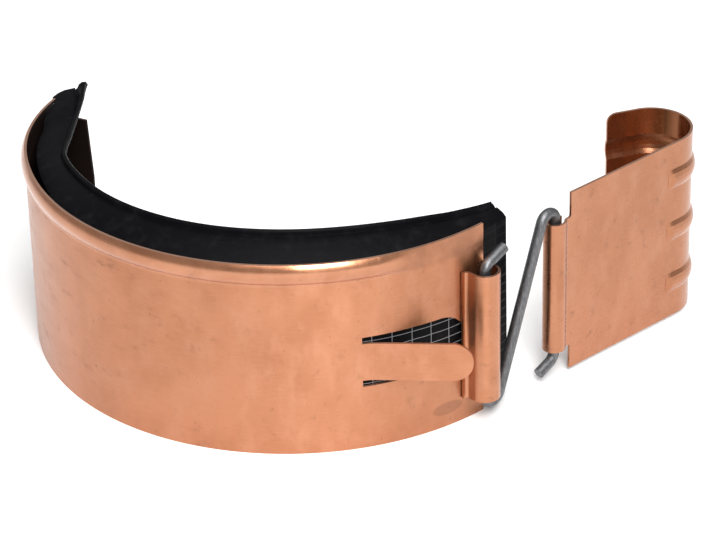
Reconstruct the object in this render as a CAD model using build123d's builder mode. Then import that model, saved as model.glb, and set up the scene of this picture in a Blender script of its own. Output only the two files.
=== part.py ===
from build123d import *
import os
from math import asin, atan2, cos, degrees, hypot, radians, sin, tan

# Union for a half-round rainwater gutter: a copper band lined with a rubber seal, closed by a hooked clip
# that hangs on a bent wire link.
# Millimetres. Z is the gutter's axis, -Y is the bottom of the gutter and +X is its front.
# The union stands on its lower side edge. Angles round the gutter count from the bottom, positive to the front.

# Gutter, sheet and band
gutter_radius = 62.5
seal_thickness = 2.5
seal_gap = 0.1
sheet = 0.65
band_width = 51.5
front_end = 65.0
rear_start = 60.0
rear_offset = 17.0
rear_turn = 36.0

# Swaged bead along the upper side edge, flattened towards the front
bead_height = 5.2
bead_rise = 0.95
bead_flat_rise = 0.05
bead_fade_start = 40.0
bead_fade_angle = 12.0
bead_fade_steps = 4

# Rear hook that takes the back edge of the gutter, deepest at its middle
hook_width = 41.0
hook_bend = 1.5
hook_depth = 8.6
hook_crown = 1.1
hook_tip = 9.0

# Locking tongue cut out of the band, and the window that it leaves
lock_height = 23.75
window_start = 36.0
window_length = 27.2
window_height = 13.5
tongue_slot = 1.75
tongue_length = 26.0
tongue_bend = 18.0
tongue_bend_radius = 9.0
tip_flat = 0.1

# Rolled barrels that hold the wire
roll_start = 63.0
band_bore = 6.0
band_barrel_length = 34.6
barrel_slit = 0.4
flap_angle = 85.0
flap_radius = 0.8
flap_gap = 0.05
flap_seat = 0.3
clip_bore = 4.4
clip_barrel_length = 35.5
clip_roll_turn = 305.0
joggle_angle = 45.0
joggle_radius = 1.5

# Wire link
wire_diameter = 2.7
wire_bend = 2.6
wire_end_play = 0.3
link_length = 25.3
link_angle = 68.3
upper_tail = 6.8
upper_tail_lift = 1.0
upper_tail_rise = 2.3
lower_tail = 5.6
lower_tail_drop = 2.0

# Hooked clip
clip_width = 49.0
clip_angle = 63.0
clip_edge_offset = 3.9
clip_plate_length = 37.9
bead_hook_radius = 9.35
bead_hook_turn = 157.6
bead_hook_lip = 8.0
notch_corner = 0.7
lip_corner = 2.5
rib_count = 3
rib_pitch = 14.7
rib_width = 5.5
rib_rise = 0.8
rib_lead = 2.6
rib_fade = 1.8
rib_fade_rise = 0.05

# Rubber seal
seal_front_end = 73.5
seal_end_gap = 0.3
lip_overrun = 8.0
seal_foot = 0.3
lip_reach = 6.8
lip_crest = 2.6
lip_root = 3.0
lip_thickness = 1.8
fin_height = 1.1

# Values that follow
band_inner = gutter_radius + seal_thickness
band_outer = band_inner + sheet
bead_base = band_width - bead_height
fade_end = bead_fade_start + bead_fade_angle
rear_x = -rear_offset * sin(radians(rear_start))
rear_y = -rear_offset * cos(radians(rear_start))
rear_axis = Axis((rear_x, rear_y, 0), (0, 0, -1))
band_bore_radius = band_bore / 2
barrel_low = lock_height - band_barrel_length / 2
barrel_high = lock_height + band_barrel_length / 2
clip_bore_radius = clip_bore / 2
clip_base = (band_width - clip_width) / 2
clip_barrel_low = (band_width - clip_barrel_length) / 2
clip_barrel_high = clip_barrel_low + clip_barrel_length


def radial_plane(angle):
    """Plane through the axis at an angle round the gutter: x is the radius and y is the height."""
    a = radians(angle)
    return Plane(origin=(0, 0, 0), x_dir=(sin(a), -cos(a), 0), z_dir=(-cos(a), -sin(a), 0))


def wall_plane(radius, angle, height=0):
    """Level plane on the wall: x runs round to the front and y points to the axis."""
    a = radians(angle)
    place = (radius * sin(a), -radius * cos(a), height)
    return Plane(origin=place, x_dir=(cos(a), sin(a), 0), z_dir=(0, 0, 1))


def facing_plane(radius, angle, height):
    """Upright plane on the wall: x runs round to the front, y is up and z points outward."""
    a = radians(angle)
    place = (radius * sin(a), -radius * cos(a), height)
    return Plane(origin=place, x_dir=(cos(a), sin(a), 0), z_dir=(sin(a), -cos(a), 0))


def wall_section(rise):
    """Outline of the band's wall with a bead of the given rise at its upper edge."""
    with BuildLine() as outline:
        for face in (band_inner, band_outer):
            Line((face, 0), (face, bead_base))
            ThreePointArc((face, bead_base), (face + rise, bead_base + bead_height / 2), (face, band_width))
        Line((band_inner, 0), (band_outer, 0))
        Line((band_inner, band_width), (band_outer, band_width))
    make_face(outline.edges())


def bent_sheet(start, heading, runs):
    """Outline of sheet bent along its runs. One face begins at start and the sheet lies to its left.
    A run is a straight length with no angle, or an inside radius with an angle, positive to the left."""
    with BuildLine() as outline:
        firsts = []
        lasts = []
        for depth in (0, sheet):
            along = Vector(1, 0).rotate(Axis.Z, heading)
            point = Vector(*start) + depth * along.rotate(Axis.Z, 90)
            firsts.append(point)
            for size, angle in runs:
                if angle == 0:
                    edge = Line(point, point + size * along)
                else:
                    edge = JernArc(point, along, size + (depth if angle < 0 else sheet - depth), angle)
                point = edge @ 1
                along = edge % 1
            lasts.append(point)
        Line(*firsts)
        Line(*lasts)
    make_face(outline.edges())


# Band
with BuildPart() as band:
    # Beaded wall, closing in towards the rear and plain where the bead has flattened out at the front
    with BuildSketch(radial_plane(-rear_start)):
        wall_section(bead_rise)
    revolve(axis=rear_axis, revolution_arc=rear_turn)
    with BuildSketch(radial_plane(-rear_start)):
        wall_section(bead_rise)
    revolve(axis=Axis.Z, revolution_arc=rear_start + bead_fade_start)
    for step in range(bead_fade_steps + 1):
        share = step / bead_fade_steps
        with BuildSketch(radial_plane(bead_fade_start + share * bead_fade_angle)):
            wall_section(bead_rise + share * (bead_flat_rise - bead_rise))
    loft(ruled=True)
    with BuildSketch(radial_plane(fade_end)):
        wall_section(bead_flat_rise)
    revolve(axis=Axis.Z, revolution_arc=front_end - fade_end)
    # Window with a square root and a round end
    window_angle = window_length / band_outer
    window_chord = band_outer * sin(window_angle)
    window_depth = band_outer * (1 - cos(window_angle)) + 2 * sheet
    window_round = window_height / 2
    with BuildSketch(facing_plane(band_outer, window_start, lock_height)):
        with Locations((window_chord / 2 - window_round / 2, 0)):
            Rectangle(window_chord - window_round, window_height)
        with Locations((window_chord - window_round, 0)):
            Circle(window_round)
    extrude(amount=-window_depth, mode=Mode.SUBTRACT)
    # Tongue bent outward at its root
    tongue_width = window_height - 2 * tongue_slot
    bend_length = tongue_bend_radius * radians(tongue_bend)
    with BuildSketch(wall_plane(band_outer, window_start, lock_height - tongue_width / 2)):
        bent_sheet((0, 0), 0, [(tongue_bend_radius, -tongue_bend), (tongue_length - bend_length, 0)])
    extrude(amount=tongue_width)
    tip_direction = wall_plane(band_outer, window_start - tongue_bend).x_dir
    tongue_tip = (
        band.edges(Select.LAST)
        .filter_by(lambda edge: abs(edge.length - sheet) < sheet / 100)
        .sort_by(Axis((0, 0, 0), tip_direction))[-2:]
    )
    fillet(tongue_tip, tongue_width / 2 - tip_flat)
    # Barrel rolled outward from a tab of the front end, with its flap brought back to the wall
    with BuildSketch(radial_plane(roll_start)):
        with Locations((band_inner, lock_height)):
            Rectangle(4 * sheet, band_barrel_length + 2 * barrel_slit)
    revolve(axis=Axis.Z, revolution_arc=front_end - roll_start + 1, mode=Mode.SUBTRACT)
    flap = radians(flap_angle)
    flap_fall = (band_bore_radius + flap_radius + sheet) * (1 - cos(flap))
    ramp = (band_bore - flap_gap - flap_fall) / sin(flap)
    roll = [(band_bore_radius, -180 - flap_angle), (ramp, 0), (flap_radius, flap_angle), (flap_seat, 0)]
    with BuildSketch(wall_plane(band_outer, roll_start, barrel_low)):
        bent_sheet((0, 0), 0, roll)
    extrude(amount=band_barrel_length)
    # Hook turned inward at the rear end
    rear = radians(-rear_start - rear_turn)
    rear_place = (
        rear_x + (band_inner - rear_offset) * sin(rear),
        rear_y - (band_inner - rear_offset) * cos(rear),
        band_width / 2,
    )
    rear_plane = Plane(origin=rear_place, x_dir=(cos(rear), sin(rear), 0), z_dir=(0, 0, 1))
    with BuildSketch(rear_plane.offset(-hook_width / 2)):
        bent_sheet((0, 0), 180, [(hook_bend, -90)])
    extrude(amount=hook_width)
    web_place = rear_plane.from_local_coords((-hook_bend, 0, 0))
    with BuildSketch(Plane(origin=web_place, x_dir=rear_plane.y_dir, z_dir=-rear_plane.x_dir)):
        with BuildLine():
            Polyline(
                (hook_bend, -hook_width / 2),
                (hook_depth - hook_crown, -hook_width / 2),
                (hook_depth, -hook_tip / 2),
                (hook_depth, hook_tip / 2),
                (hook_depth - hook_crown, hook_width / 2),
                (hook_bend, hook_width / 2),
                close=True,
            )
        make_face()
    extrude(amount=sheet)

band.part.label = "band"

# Rubber seal
seal_outer = band_inner - seal_gap
crest = band_width + lip_crest
lip_base = band_width - lip_root - lip_thickness
lip_inner = gutter_radius - lip_reach
lip_side = [
    (seal_outer, band_width - lip_root),
    (lip_inner, crest),
    (lip_inner - lip_thickness / 3, crest + fin_height),
    (lip_inner - lip_thickness / 2, crest - lip_thickness / 2),
    (gutter_radius, lip_base),
]
foot_side = [
    (gutter_radius, lip_root + lip_thickness),
    (lip_inner, seal_foot + lip_thickness),
    (lip_inner, seal_foot),
    (gutter_radius, seal_foot),
    (seal_outer, lip_root),
]
rear_radius = band_inner - rear_offset
seal_rear_turn = rear_turn - degrees(seal_end_gap / rear_radius)
lip_rear_turn = rear_turn + degrees(lip_overrun / rear_radius)
with BuildPart() as rubber_seal:
    # Whole section inside the band, then the upper lip alone, which runs on past the band's rear end
    runs = (
        (lip_side + foot_side, Axis.Z, rear_start + seal_front_end),
        (lip_side + foot_side, rear_axis, seal_rear_turn),
        (lip_side + [(seal_outer, lip_base)], rear_axis, lip_rear_turn),
    )
    for points, turn_axis, turn in runs:
        with BuildSketch(radial_plane(-rear_start)):
            with BuildLine():
                Polyline(*points, close=True)
            make_face()
        revolve(axis=turn_axis, revolution_arc=turn)

rubber_seal.part.label = "rubber_seal"

# Wire link: a Z of round wire whose two legs turn in the barrels
barrel_radius = band_outer + band_bore_radius
leg_x = barrel_radius * sin(radians(roll_start))
leg_y = -barrel_radius * cos(radians(roll_start))
link = radians(link_angle)
link_plane = Plane(origin=(leg_x, leg_y, 0), x_dir=(cos(link), sin(link), 0), z_dir=(sin(link), -cos(link), 0))
lower_bend = barrel_low - wire_end_play
upper_bend = clip_barrel_high + wire_end_play
centre_run = link_length - 2 * wire_bend
centre_rise = upper_bend - lower_bend
diagonal = degrees(atan2(centre_rise, centre_run) + asin(2 * wire_bend / hypot(centre_run, centre_rise)))
bend_reach = wire_bend * tan(radians((90 + diagonal) / 2))
upper_tail_height = barrel_high + upper_tail_lift
lower_tail_height = clip_barrel_low - wire_end_play - wire_bend
with BuildPart() as wire_link:
    with BuildLine(link_plane) as link_path:
        FilletPolyline(
            (upper_tail, upper_tail_height + upper_tail_rise),
            (0, upper_tail_height),
            (0, lower_bend - bend_reach),
            (link_length, upper_bend + bend_reach),
            (link_length, lower_tail_height),
            (link_length - lower_tail, lower_tail_height - lower_tail_drop),
            radius=wire_bend,
        )
    with BuildSketch(Plane(origin=link_path.line @ 0, z_dir=link_path.line % 0)):
        Circle(wire_diameter / 2)
    sweep()

wire_link.part.label = "wire_link"

# Lock clip: plate with a rolled barrel at one end and a ribbed hook for the gutter's front bead at the other
pivot_x = leg_x + link_length * cos(link)
pivot_y = leg_y + link_length * sin(link)
plate = radians(clip_angle)


def clip_plane(height):
    """Level plane on the clip's pivot: x runs along the plate and y points to the hook's inside."""
    return Plane(origin=(pivot_x, pivot_y, height), x_dir=(cos(plate), sin(plate), 0), z_dir=(0, 0, 1))


joggle = radians(joggle_angle)
plate_line = (joggle_radius + sheet) * (1 - cos(joggle)) - clip_bore_radius * cos(joggle)
neck_length = clip_edge_offset - (clip_bore_radius + joggle_radius + sheet) * sin(joggle)
hook_place = clip_plane(0).from_local_coords((clip_edge_offset + clip_plate_length, plate_line + bead_hook_radius, 0))
plate_end = clip_angle - 90
lip_start = plate_end + bead_hook_turn


def hook_plane(angle, back=0):
    """Upright plane on the hook's axis: x is the radius, y is up. It can stand back along the plate."""
    a = radians(angle)
    behind = Vector(sin(a), -cos(a), 0)
    return Plane(origin=hook_place + back * behind, x_dir=(cos(a), sin(a), 0), z_dir=behind)


def rib_section(face, rise, middle):
    """Outline of one pressed rib above a face of the sheet."""
    edges = [(face - sheet / 2, middle - rib_width / 2)]
    for share in (-0.5, -0.3, -0.1, 0.1, 0.3, 0.5):
        edges.append((face + rise * (1 - 4 * share**2), middle + share * rib_width))
    edges.append((face - sheet / 2, middle + rib_width / 2))
    with BuildLine() as outline:
        Polyline(*edges, close=True)
    make_face(outline.edges())


with BuildPart() as lock_clip:
    # Plate, bend and lip
    with BuildSketch(clip_plane(clip_base)):
        hook_runs = [(clip_plate_length, 0), (bead_hook_radius, bead_hook_turn), (bead_hook_lip, 0)]
        bent_sheet((clip_edge_offset, plate_line - sheet), 0, hook_runs)
    extrude(amount=clip_width)
    # Barrel set out from the plate by a joggle and rolled to the inside
    with BuildSketch(clip_plane(clip_barrel_low)):
        roll_runs = [(neck_length, 0), (joggle_radius, joggle_angle), (clip_bore_radius, -clip_roll_turn)]
        bent_sheet((clip_edge_offset, plate_line), 180, roll_runs)
    extrude(amount=clip_barrel_length)
    # Rounded corners of the lip and of the notches beside the barrel
    clip_frame = clip_plane(0)
    corners = lock_clip.edges().filter_by(lambda edge: abs(edge.length - sheet) < sheet / 100)
    across = corners.sort_by(Axis(clip_frame.origin, clip_frame.y_dir))
    lip_corners = across[-2:]
    plate_corners = across[:-2].sort_by(Axis(clip_frame.origin, clip_frame.x_dir))[-4:]
    notch_corners = plate_corners.sort_by(Axis.Z)[1:3]
    fillet(lip_corners, lip_corner)
    fillet(notch_corners, notch_corner)
    # Ribs pressed outward, from the end of the plate round the bend to the edge of the lip
    for face, mode in ((bead_hook_radius + sheet, Mode.ADD), (bead_hook_radius, Mode.SUBTRACT)):
        for rib in range(rib_count):
            middle = band_width / 2 + (rib - (rib_count - 1) / 2) * rib_pitch
            with BuildSketch(hook_plane(plate_end)):
                rib_section(face, rib_rise, middle)
            revolve(axis=Axis(hook_place, (0, 0, 1)), revolution_arc=bead_hook_turn, mode=mode)
            with BuildSketch(hook_plane(lip_start)):
                rib_section(face, rib_rise, middle)
            extrude(amount=-bead_hook_lip, mode=mode)
            with BuildSketch(hook_plane(plate_end)):
                rib_section(face, rib_rise, middle)
            extrude(amount=rib_lead, mode=mode)
            for back, rise in ((rib_lead, rib_rise), (rib_lead + rib_fade, rib_fade_rise)):
                with BuildSketch(hook_plane(plate_end, back)):
                    rib_section(face, rise, middle)
            loft(mode=mode)

lock_clip.part.label = "lock_clip"

os.makedirs("parts", exist_ok=True)
for piece in (band, rubber_seal, wire_link, lock_clip):
    export_step(piece.part, f"parts/{piece.part.label}.step")
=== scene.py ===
import bpy
import math
from mathutils import Matrix, Vector


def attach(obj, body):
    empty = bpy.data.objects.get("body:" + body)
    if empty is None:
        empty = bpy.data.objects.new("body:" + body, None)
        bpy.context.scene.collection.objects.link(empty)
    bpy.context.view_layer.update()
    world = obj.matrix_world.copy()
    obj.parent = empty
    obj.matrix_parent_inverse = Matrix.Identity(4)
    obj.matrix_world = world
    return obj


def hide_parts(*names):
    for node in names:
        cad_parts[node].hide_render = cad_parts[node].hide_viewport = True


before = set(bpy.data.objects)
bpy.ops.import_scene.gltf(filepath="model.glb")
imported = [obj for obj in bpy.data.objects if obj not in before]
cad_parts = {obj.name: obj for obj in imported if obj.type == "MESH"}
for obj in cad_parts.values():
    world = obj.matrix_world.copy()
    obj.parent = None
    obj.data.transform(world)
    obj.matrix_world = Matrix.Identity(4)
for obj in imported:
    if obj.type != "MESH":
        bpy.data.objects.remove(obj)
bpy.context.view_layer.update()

# Sizes in metres, angles in degrees. Angles round the gutter count from the bottom, positive to the front.
MM = 0.001

# Camera that took the photograph, in the frame's own axes
CAMERA_PLACE = (0.28881, -0.67674, 0.44308)
CAMERA_HEADING = 21.91
CAMERA_TILT = 59.60
CAMERA_ROLL = -1.346
CAMERA_LENS_MM = 170.63
CAMERA_SENSOR_MM = 36.0


def add_object(name, data):
    thing = bpy.data.objects.new(name, data)
    bpy.context.scene.collection.objects.link(thing)
    return thing


def add_camera():
    data = bpy.data.cameras.new("camera")
    data.lens = CAMERA_LENS_MM
    data.sensor_width = CAMERA_SENSOR_MM
    camera = add_object("camera", data)
    turn = (
        Matrix.Rotation(math.radians(CAMERA_HEADING), 4, "Z")
        @ Matrix.Rotation(math.radians(CAMERA_TILT), 4, "X")
        @ Matrix.Rotation(math.radians(CAMERA_ROLL), 4, "Z")
    )
    camera.matrix_world = Matrix.Translation(Vector(CAMERA_PLACE)) @ turn
    bpy.context.scene.camera = camera


class Nodes:
    """Short forms for building one material's node tree."""

    def __init__(self, name):
        self.material = bpy.data.materials.new(name)
        self.material.use_nodes = True
        self.tree = self.material.node_tree
        self.shader = self.tree.nodes["Principled BSDF"]

    def add(self, kind, inputs=(), **settings):
        node = self.tree.nodes.new(kind)
        for key, value in settings.items():
            setattr(node, key, value)
        for key, value in dict(inputs).items():
            self.put(node.inputs[key], value)
        return node

    def put(self, socket, value):
        """Links another node's output to the socket, or sets a plain value on it."""
        if isinstance(value, bpy.types.NodeSocket):
            self.tree.links.new(value, socket)
        else:
            socket.default_value = value

    def set(self, **values):
        """Values of the shader itself, by the sockets' names with underscores."""
        for key, value in values.items():
            self.put(self.shader.inputs[key.replace("_", " ")], value)

    def math(self, operation, first, second=0.0):
        node = self.add("ShaderNodeMath", operation=operation)
        self.put(node.inputs[0], first)
        self.put(node.inputs[1], second)
        return node.outputs[0]

    def plus(self, first, second):
        return self.math("ADD", first, second)

    def minus(self, first, second):
        return self.math("SUBTRACT", first, second)

    def times(self, first, second):
        return self.math("MULTIPLY", first, second)

    def remap(self, value, low, high, to_low=0.0, to_high=1.0):
        """Runs smoothly from to_low to to_high while the value runs from low to high."""
        node = self.add("ShaderNodeMapRange", interpolation_type="SMOOTHSTEP")
        for socket, number in zip(node.inputs, (value, low, high, to_low, to_high)):
            self.put(socket, number)
        return node.outputs[0]

    def noise(self, place, scale, detail=3.0, roughness=0.5):
        inputs = {"Vector": place, "Scale": scale, "Detail": detail, "Roughness": roughness}
        return self.add("ShaderNodeTexNoise", inputs).outputs["Fac"]

    def bump(self, height, strength, distance):
        inputs = {"Height": height, "Strength": strength, "Distance": distance}
        return self.add("ShaderNodeBump", inputs).outputs["Normal"]

    def blend(self, share, first, second):
        """Mixes two colours. The mix node's colour sockets follow those for its other kinds."""
        node = self.add("ShaderNodeMix", data_type="RGBA")
        self.put(node.inputs["Factor"], share)
        self.put(node.inputs[6], first)
        self.put(node.inputs[7], second)
        return node.outputs[2]

    def vector(self, x, y, z):
        node = self.add("ShaderNodeCombineXYZ")
        for socket, value in zip(node.inputs, (x, y, z)):
            self.put(socket, value)
        return node.outputs[0]

    def coordinates(self, kind):
        source = self.add("ShaderNodeTexCoord").outputs[kind]
        return self.add("ShaderNodeSeparateXYZ", {"Vector": source}).outputs

    def place(self):
        """x, y and z of the surface point in the frame, in metres, moving with the piece."""
        return self.coordinates("Object")

    def facing(self):
        """x, y and z of the direction that the surface faces, in the piece's own axes."""
        return self.coordinates("Normal")

    def length_round(self, x, y, radius):
        """Length round the gutter's axis from its bottom, along a wall of this radius."""
        return self.times(self.math("ARCTAN2", x, self.times(y, -1.0)), radius)


# Copper sheet: its colours
COPPER = (0.450, 0.183, 0.087, 1.0)
COPPER_DEEP = (0.385, 0.147, 0.064, 1.0)
COPPER_PALE = (0.520, 0.240, 0.135, 1.0)
# Stains; the same colour also paints dark reflections on the band
COPPER_STAIN_AND_SHADE = (0.20, 0.080, 0.040, 1.0)
COPPER_EDGE = (0.62, 0.35, 0.24, 1.0)
# Painted shade and dark reflection inside the clip's hook
COPPER_INSIDE_SHADE = (0.33, 0.105, 0.028, 1.0)
# Near-black painted shade inside the band and its rear hook
COPPER_PAINTED_SHADE = (0.03, 0.012, 0.008, 1.0)
# Cut edges are the faces that look this far up or down
EDGE_FACING = (0.93, 0.99)
EDGE_SHARE = 0.7
# Relief of the rolling lines and clouds, and how far the lines draw out the shine
SHEET_BUMP = 0.09
SHEET_RELIEF = 0.0004
LINE_PULL = 0.7
QUARTER_TURN = 0.25
# A thin film lets a share of the light scatter and gives the white part of the shine
FILM_SHARE = 0.08
FILM_INDEX = 3.0
FILM_COAT = 0.2
FILM_ROUGHNESS = 0.14
# The bead along the band's upper edge is polished by the rolling; the plain edge in front of it carries a
# painted dark reflection
BEAD_RISE = (0.0450, 0.0465)
BEAD_FADE = (0.043, 0.058)
BEAD_POLISH = 0.62
BEAD_COAT = 0.5
PAINTED_REFLECTION_SHARE = 0.38
# The band's barrel, from here on along the wall, and the clip are smoother than the wall
WALL_RADIUS = 0.0655
ROLL_START = (0.0700, 0.0720)
ROLL_POLISH = 0.72
# The band's inside carries near-black painted shade: the faces that look at the gutter's axis from this far
# off
INSIDE_DEPTH = (-0.03, -0.02)
INSIDE_ROUGHNESS = 0.8
# So does the rear hook, from here on along y and as far out as this along x, but for faces that look along y
HOOK_START = (-0.0070, -0.0050)
HOOK_BACK = (-0.0605, -0.0630)
HOOK_OUTSIDE = 0.5
# Painted dark reflection of the barrel and wire, a brown oval below the tongue: its middle along the wall
# and up, its half sizes, its soft rim and its strength
BARREL_REFLECTION_PLACE = (0.0631, 0.0050)
BARREL_REFLECTION_SIZE = (0.0045, 0.0018)
BARREL_REFLECTION_RIM = (0.75, 1.05)
BARREL_REFLECTION_SHARE = 0.42
# The clip's inside carries painted shade and dark reflection: the faces that look at the axis of its hook
# from this far off
PLATE_ANGLE = 63.0
HOOK_AXIS = (0.0820, 0.0334)
HOOK_DEPTH = (0.002, 0.005)
INSIDE_SHARE = 0.80
# In the grooves of the ribs, the faces that look up this far are left out of that painted shade, so they
# show as lit
GROOVE_FACING = (0.10, 0.35)
# The clip's sheet is a little browner and more even than the band's
CLIP_SHADE = 0.17
CLIP_EVENNESS = 0.6


def rolled_copper(n, along, depth, z):
    """Colour, roughness, height and smears of rolled copper with lines along it, clouds and specks."""
    # The surface as it is, and drawn out along the sheet for marks of other lengths
    surface = n.vector(along, depth, z)
    drawn_out = n.vector(n.times(along, 0.05), 0.0, z)
    loose = n.vector(n.times(along, 0.5), depth, n.times(z, 0.8))
    flat = n.vector(n.times(along, 0.6), depth, n.times(z, 1.6))
    lines = n.noise(drawn_out, scale=4200.0, roughness=0.6)
    clouds = n.noise(surface, scale=48.0, detail=4.0, roughness=0.55)
    patches = n.noise(loose, scale=150.0, detail=4.0, roughness=0.6)
    smears = n.noise(flat, scale=210.0, detail=5.0, roughness=0.62)
    specks = n.noise(surface, scale=900.0, detail=2.0)

    colour = n.blend(n.remap(clouds, 0.35, 0.68), COPPER_DEEP, COPPER)
    colour = n.blend(n.remap(patches, 0.42, 0.78, 0.0, 0.55), colour, COPPER_PALE)
    colour = n.blend(n.remap(lines, 0.45, 0.75, 0.0, 0.30), colour, COPPER_PALE)
    colour = n.blend(n.remap(smears, 0.58, 0.78, 0.0, 0.38), colour, COPPER_STAIN_AND_SHADE)
    colour = n.blend(n.remap(specks, 0.72, 0.745, 0.0, 0.6), colour, COPPER_STAIN_AND_SHADE)
    cut_edge = n.remap(n.math("ABSOLUTE", n.facing()[2]), *EDGE_FACING, 0.0, EDGE_SHARE)
    colour = n.blend(cut_edge, colour, COPPER_EDGE)
    roughness = n.plus(n.remap(patches, 0.3, 0.7, 0.33, 0.41), n.remap(smears, 0.5, 0.8, 0.0, 0.12))
    height = n.plus(n.times(lines, 0.5), n.times(clouds, 1.6))
    return colour, roughness, height, smears


def finish_copper(n, colour, roughness, height, coat):
    """Metal whose shine is drawn out upwards, across the rolling lines."""
    around = n.add("ShaderNodeTangent", direction_type="RADIAL", axis="Z")
    n.set(Base_Color=colour, Roughness=roughness, Normal=n.bump(height, SHEET_BUMP, SHEET_RELIEF))
    n.set(Metallic=1.0 - FILM_SHARE, IOR=FILM_INDEX, Coat_Weight=coat, Coat_Roughness=FILM_ROUGHNESS)
    n.set(Anisotropic=LINE_PULL, Anisotropic_Rotation=QUARTER_TURN, Tangent=around.outputs["Tangent"])
    return n.material


def band_copper():
    """Copper of the band, with its polished bead, painted dark reflections on its front edge and below the
    tongue, and painted shade on its inside.
    """
    n = Nodes("copper_band")
    x, y, z = n.place()
    facing = n.facing()
    along = n.length_round(x, y, WALL_RADIUS)
    colour, roughness, height, smears = rolled_copper(n, along, n.plus(x, y), z)

    # Painted shade: the band's inside and its rear hook are painted near black
    outward = n.plus(n.times(x, facing[0]), n.times(y, facing[1]))
    hook = n.times(n.remap(y, *HOOK_START), n.remap(x, *HOOK_BACK, 1.0, 0.0))
    hook = n.times(hook, n.math("LESS_THAN", x, 0.0))
    hook = n.times(hook, n.math("LESS_THAN", facing[1], HOOK_OUTSIDE))
    inside = n.math("MAXIMUM", hook, n.remap(outward, *INSIDE_DEPTH, 1.0, 0.0))
    colour = n.blend(inside, colour, COPPER_PAINTED_SHADE)

    # Painted dark reflection of the barrel and wire: a brown oval below the tongue
    barrel_reflection = 0.0
    for value, middle, half in zip((along, z), BARREL_REFLECTION_PLACE, BARREL_REFLECTION_SIZE):
        off = n.math("DIVIDE", n.minus(value, middle), half)
        barrel_reflection = n.plus(barrel_reflection, n.times(off, off))
    colour = n.blend(n.remap(barrel_reflection, *BARREL_REFLECTION_RIM, BARREL_REFLECTION_SHARE, 0.0), colour, COPPER_STAIN_AND_SHADE)

    edge = n.remap(z, *BEAD_RISE)
    # Painted dark reflection on the plain edge in front of the bead
    painted_reflection = n.times(edge, n.remap(along, *BEAD_FADE, 0.0, PAINTED_REFLECTION_SHARE))
    painted_reflection = n.times(painted_reflection, n.remap(smears, 0.3, 0.6, 0.5, 1.0))
    colour = n.blend(painted_reflection, colour, COPPER_STAIN_AND_SHADE)
    bead = n.times(edge, n.remap(along, *BEAD_FADE, 1.0, 0.0))
    roughness = n.times(roughness, n.remap(bead, 0.0, 1.0, 1.0, BEAD_POLISH))
    roughness = n.times(roughness, n.remap(along, *ROLL_START, 1.0, ROLL_POLISH))
    roughness = n.math("MAXIMUM", roughness, n.times(inside, INSIDE_ROUGHNESS))
    coat = n.times(n.remap(bead, 0.0, 1.0, FILM_COAT, BEAD_COAT), n.minus(1.0, inside))
    return finish_copper(n, colour, roughness, height, coat)


def clip_copper():
    """Copper of the clip, with painted shade on its inside."""
    n = Nodes("copper_clip")
    x, y, z = n.place()
    facing = n.facing()
    turn = math.radians(PLATE_ANGLE)
    along = n.plus(n.times(x, math.cos(turn)), n.times(y, math.sin(turn)))
    colour, roughness, height, _ = rolled_copper(n, along, n.plus(x, y), z)
    colour = n.blend(CLIP_SHADE, colour, COPPER_STAIN_AND_SHADE)

    # Painted shade and dark reflection on the hook's inside, left out on faces that look up
    inward = 0.0
    for value, middle, face in zip((x, y), HOOK_AXIS, facing):
        inward = n.plus(inward, n.times(n.minus(middle, value), face))
    inside = n.remap(inward, *HOOK_DEPTH, 0.0, INSIDE_SHARE)
    inside = n.times(inside, n.remap(facing[2], *GROOVE_FACING, 1.0, 0.0))
    colour = n.blend(inside, colour, COPPER_INSIDE_SHADE)
    height = n.times(height, CLIP_EVENNESS)
    return finish_copper(n, colour, n.times(roughness, ROLL_POLISH), height, FILM_COAT)


# Rubber, and the pale woven grid on its back: pitch round the gutter and up, and half width of the threads
RUBBER = (0.0022, 0.0022, 0.0028, 1.0)
RUBBER_DUSTY = (0.0075, 0.0075, 0.009, 1.0)
SCRIM = (0.29, 0.29, 0.30, 1.0)
SCRIM_PITCHES = (0.0051, 0.0023)
SCRIM_WIDTH = 0.00011
SCRIM_WANDER = 0.0004
# The grid lies outside this radius, and the rubber covers most of it above this height and at the front end
SCRIM_DEPTH = (0.0643, 0.0646)
SCRIM_TOP = (0.0340, 0.0350)
SCRIM_END = (0.0715, 0.0725)
# Radius of the seal's back, just inside the band
SEAL_BACK = 0.0649


def rubber():
    """Matte black rubber with extrusion lines and dust, and a pale woven grid on its back."""
    n = Nodes("seal_rubber")
    x, y, z = n.place()
    radius = n.math("SQRT", n.plus(n.times(x, x), n.times(y, y)))
    along = n.length_round(x, y, SEAL_BACK)
    surface = n.vector(along, radius, z)

    wander = n.times(n.minus(n.noise(surface, scale=160.0), 0.5), SCRIM_WANDER)
    threads = 0.0
    for value, pitch in zip((along, z), SCRIM_PITCHES):
        turns = n.math("DIVIDE", n.plus(value, wander), pitch)
        off = n.math("ABSOLUTE", n.minus(n.math("FRACT", turns), 0.5))
        thread = n.remap(n.times(off, pitch), SCRIM_WIDTH * 0.5, SCRIM_WIDTH, 1.0, 0.0)
        threads = n.math("MAXIMUM", threads, thread)
    bare = n.times(n.remap(z, *SCRIM_TOP, 1.0, 0.15), n.remap(along, *SCRIM_END, 0.8, 0.2))
    scrim = n.times(n.times(threads, n.remap(radius, *SCRIM_DEPTH)), bare)

    lines = n.noise(n.vector(n.times(along, 0.02), radius, z), scale=2200.0)
    dust = n.noise(surface, scale=260.0, detail=5.0, roughness=0.65)
    colour = n.blend(n.remap(dust, 0.45, 0.8), RUBBER, RUBBER_DUSTY)
    colour = n.blend(scrim, colour, SCRIM)
    height = n.plus(n.times(lines, 0.6), n.times(scrim, 1.5))
    n.set(Base_Color=colour, Roughness=n.remap(dust, 0.3, 0.8, 0.42, 0.62))
    n.set(Normal=n.bump(height, strength=0.25, distance=0.0003), Specular_IOR_Level=0.05)
    return n.material


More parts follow.
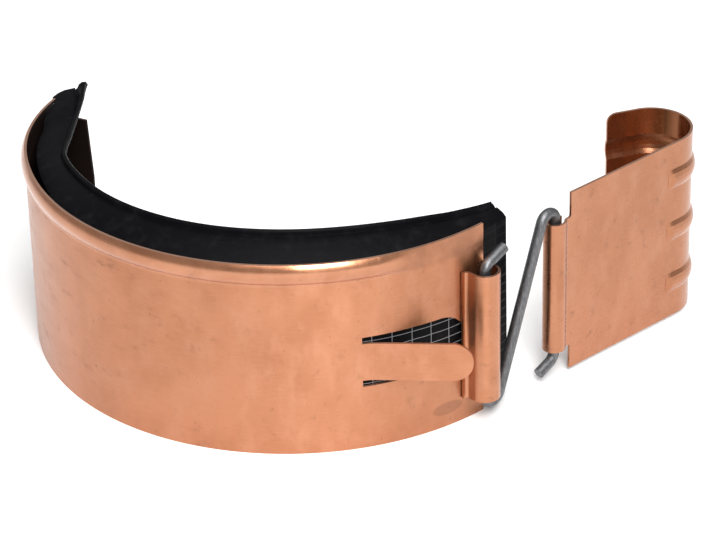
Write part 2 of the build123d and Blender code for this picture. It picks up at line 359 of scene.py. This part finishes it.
# Steel wire
STEEL = (0.112, 0.113, 0.118, 1.0)
STEEL_PALE = (0.182, 0.183, 0.188, 1.0)
STEEL_DARK = (0.05, 0.05, 0.053, 1.0)
SCUFF_SHARE = 0.35


def steel_wire():
    """Dull drawn wire with lines along it and small scuffs."""
    n = Nodes("drawn_wire")
    x, y, z = n.place()
    drawn = n.noise(n.vector(x, y, n.times(z, 0.12)), scale=2600.0, roughness=0.6)
    scuffs = n.noise(n.vector(x, y, z), scale=520.0, detail=5.0, roughness=0.7)
    colour = n.blend(n.remap(drawn, 0.35, 0.7), STEEL, STEEL_PALE)
    colour = n.blend(n.times(n.remap(scuffs, 0.52, 0.78), SCUFF_SHARE), colour, STEEL_DARK)
    n.set(Base_Color=colour, Metallic=0.9, Roughness=n.remap(scuffs, 0.3, 0.7, 0.36, 0.55))
    n.set(Normal=n.bump(drawn, strength=0.08, distance=0.0002))
    return n.material


def dress(node, material):
    """Gives a node of the frame one material all over."""
    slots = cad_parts[node].data.materials
    slots.clear()
    slots.append(material)


# Rubber seal: radius of its face, angles of its ends, step between its sections, and bend of a sharp edge
SEAL_FACE = 0.0625
SEAL_FRONT = 73.5
SEAL_REAR = -95.6
SEAL_STEP = 0.75
SEAL_CREASE = 50.0
# Behind this angle the seal closes in, about an axis that lies this far from the gutter's
REAR_START = -60.0
REAR_OFFSET = 0.017
# The upper lip runs on past the rear end, and there its crest reaches further round than its root
LIP_START = SEAL_REAR + 1.0
LIP_REAR = -99.6
LIP_SLANT = 8.9
LIP_THICKNESS = 0.0018
# Root of the upper lip. Each change comes in over its own span of angles, which count towards the rear
ROOT_HEIGHT = 0.0482
RISE = 0.0012
RISE_SPAN = (40, 80)
END_RISE = 0.0017
END_RISE_SPAN = (80, 95)
# The root leaves the band's inside on the way to the rear, returns to it, and spreads behind the band's end
INSET = 0.0018
INSET_SPAN = (30, 50)
INSET_RETURN = (90, 78)
SPREAD = 0.0020
SPREAD_SPAN = (96, 96.8)
# Fin on the lip's crest: the shares of its height that it loses at the front end and gains at the rear end
FIN_LOSS = 0.85
FIN_LOSS_SPAN = (-55, -73)
FIN_GAIN = 0.6
FIN_GAIN_SPAN = (96, 99)
# Height of the lower lip's underside
FOOT = 0.0003
# Crest of the upper lip: angle in degrees, radius and height in millimetres. It leans out at the rear end
CREST = (
    (-108.5, 63.0, 51.3),
    (-98.9, 58.6, 51.0),
    (-86.8, 55.6, 51.0),
    (-73.4, 54.6, 51.0),
    (-62.5, 55.4, 51.1),
    (-58.0, 55.8, 51.3),
    (-45.0, 55.3, 52.4),
    (-25.0, 55.3, 53.7),
    (0.0, 55.3, 54.5),
    (21.0, 55.3, 54.7),
    (38.0, 55.4, 54.2),
    (52.0, 56.0, 53.0),
    (64.0, 57.8, 51.7),
    (73.5, 60.4, 50.9),
)


def ease(value, low, high):
    """Runs smoothly from 0 to 1 while the value runs from low to high."""
    share = min(max((value - low) / (high - low), 0.0), 1.0)
    return share * share * (3 - 2 * share)


def crest_at(angle):
    """Radius and height of the crest in metres, on a smooth curve through its points."""
    last = len(CREST) - 1
    i = 0
    while i < last - 1 and angle > CREST[i + 1][0]:
        i += 1
    start, stop = CREST[i], CREST[i + 1]
    before, after = CREST[max(i - 1, 0)], CREST[min(i + 2, last)]
    span = stop[0] - start[0]
    t = min(max((angle - start[0]) / span, 0.0), 1.0)
    values = []
    for k in (1, 2):
        leave = (stop[k] - before[k]) / (stop[0] - before[0]) * span
        arrive = (after[k] - start[k]) / (after[0] - start[0]) * span
        curve = (2 * t**3 - 3 * t**2 + 1) * start[k] + (t**3 - 2 * t**2 + t) * leave
        values.append((curve + (3 * t**2 - 2 * t**3) * stop[k] + (t**3 - t**2) * arrive) * MM)
    return Vector(values)


def lip_slant(angle):
    """How much further round the crest reaches than the root, behind the start of the lip's overrun."""
    return LIP_SLANT * min(max((LIP_START - angle) / (LIP_START - LIP_REAR), 0.0), 1.0)


def seal_section(angle):
    """Outline of the seal at one angle as radius and height in metres: the upper lip, then the rest."""
    rearward = -angle
    lip_root = ROOT_HEIGHT + RISE * ease(rearward, *RISE_SPAN) + END_RISE * ease(rearward, *END_RISE_SPAN)
    inset = INSET * ease(rearward, *INSET_SPAN) * ease(rearward, *INSET_RETURN)
    root = Vector((SEAL_BACK - inset + SPREAD * ease(rearward, *SPREAD_SPAN), lip_root))
    crest = crest_at(angle - lip_slant(angle))
    fin = 1.0 - FIN_LOSS * ease(rearward, *FIN_LOSS_SPAN) + FIN_GAIN * ease(rearward, *FIN_GAIN_SPAN)
    along = (crest - root).normalized()
    up = Vector((along.y, -along.x))
    reach = (crest - root).length

    # Upper side, fin, tip and underside: how far along the lip from its root, and how far above it
    side = (
        (0.0005, 0.0002),
        (reach * 0.35, 0.0005),
        (reach * 0.70, 0.0003),
        (reach - 0.0017, 0.0),
        (reach - 0.0013, -0.0002),
        (reach - 0.0010, 0.0),
        (reach - 0.0007, 0.0006 * fin),
        (reach - 0.0003, 0.0009 * fin),
        (reach + 0.0002, 0.0008 * fin),
        (reach + 0.0004, 0.0003),
        (reach + 0.0002, -0.0003),
        (reach - 0.0006, -0.0008),
        (reach * 0.70, -0.8 * LIP_THICKNESS),
    )
    lip = [root + along * run + up * rise for run, rise in side]
    lip.append(Vector((root.x - 0.0021, lip_root - 0.0015)))

    # Face, lower lip and back
    rest = (
        (SEAL_FACE, lip_root - 0.0026),
        (SEAL_FACE, 0.0050),
        (SEAL_FACE - 0.0006, 0.0034),
        (0.0590, FOOT + LIP_THICKNESS),
        (0.0561, FOOT + 0.0014),
        (0.0557, FOOT + 0.0007),
        (0.0561, FOOT),
        (0.0620, FOOT),
        (0.0640, 0.0018),
        (SEAL_BACK, 0.0035),
    )
    return lip, [Vector(point) for point in rest]


def seal_place(angle, radius, height):
    """Point of the seal in the frame. Behind the rear start the seal turns about a nearer axis."""
    turn = math.radians(angle)
    x, y = radius * math.sin(turn), -radius * math.cos(turn)
    if angle < REAR_START:
        bend = math.radians(REAR_START)
        x += REAR_OFFSET * (math.sin(bend) - math.sin(turn))
        y -= REAR_OFFSET * (math.cos(bend) - math.cos(turn))
    return (x, y, height)


def seal_shell(points, faces, first, last, whole):
    """Adds one closed shell between two angles: the whole section, or the upper lip alone."""
    steps = round((last - first) / SEAL_STEP)
    base = len(points)
    for step in range(steps + 1):
        angle = first + (last - first) * step / steps
        lip, rest = seal_section(angle)
        outline = lip + (rest if whole else [Vector((lip[0].x, lip[-1].y))])
        slant = 0.0 if whole else lip_slant(angle)
        reach = lip[0].x - min(point.x for point in lip)
        for point in outline:
            share = (lip[0].x - point.x) / reach
            points.append(seal_place(angle - slant * share, point.x, point.y))

    count = len(outline)
    for step in range(steps):
        a = base + step * count
        for i in range(count):
            j = (i + 1) % count
            faces.append((a + i, a + j, a + count + j, a + count + i))
    faces.append(tuple(base + i for i in reversed(range(count))))
    faces.append(tuple(base + steps * count + i for i in range(count)))


def add_seal():
    points, faces = [], []
    seal_shell(points, faces, SEAL_REAR, SEAL_FRONT, whole=True)
    seal_shell(points, faces, LIP_REAR, LIP_START, whole=False)
    mesh = bpy.data.meshes.new("lipped_seal")
    mesh.from_pydata(points, [], faces)
    mesh.validate()
    mesh.update()
    mesh.shade_smooth()
    mesh.set_sharp_from_angle(angle=math.radians(SEAL_CREASE))
    mesh.materials.append(rubber())
    seal = add_object("lipped_seal", mesh)
    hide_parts("rubber_seal")
    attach(seal, "band_body")


# Studio: pale floor, even white surroundings, and lamps with place, aim, size and watts
FLOOR_SIZE = 6.0
FLOOR_COLOUR = (0.90, 0.90, 0.90, 1.0)
WORLD_COLOUR = (1.0, 1.0, 1.0, 1.0)
WORLD_LIGHT = 0.45
KEY_LAMP = ((0.25, -0.45, 1.3), (0.0, -0.02, 0.0), (1.2, 1.2), 20.0)
SIDE_LAMP = ((0.386, -0.572, 0.579), (0.02, -0.04, 0.03), (0.28, 0.45), 6.3)


def add_floor():
    half = FLOOR_SIZE / 2
    corners = [(-half, -half, 0), (half, -half, 0), (half, half, 0), (-half, half, 0)]
    mesh = bpy.data.meshes.new("floor")
    mesh.from_pydata(corners, [], [(0, 1, 2, 3)])
    n = Nodes("floor")
    n.set(Base_Color=FLOOR_COLOUR, Roughness=0.8, Specular_IOR_Level=0.1)
    mesh.materials.append(n.material)
    add_object("floor", mesh)


def add_world():
    world = bpy.data.worlds.new("studio")
    world.use_nodes = True
    background = world.node_tree.nodes["Background"].inputs
    background["Color"].default_value = WORLD_COLOUR
    background["Strength"].default_value = WORLD_LIGHT
    bpy.context.scene.world = world


def add_lamp(name, place, target, size, watts):
    data = bpy.data.lights.new(name, "AREA")
    data.shape = "RECTANGLE"
    data.size, data.size_y = size
    data.energy = watts
    lamp = add_object(name, data)
    lamp.location = place
    lamp.rotation_euler = (Vector(target) - Vector(place)).to_track_quat("-Z", "Y").to_euler()


add_camera()
dress("band", band_copper())
dress("lock_clip", clip_copper())
dress("wire_link", steel_wire())
add_seal()
add_floor()
add_world()
add_lamp("key", *KEY_LAMP)
add_lamp("side", *SIDE_LAMP)

bpy.context.scene.view_settings.view_transform = "Standard"
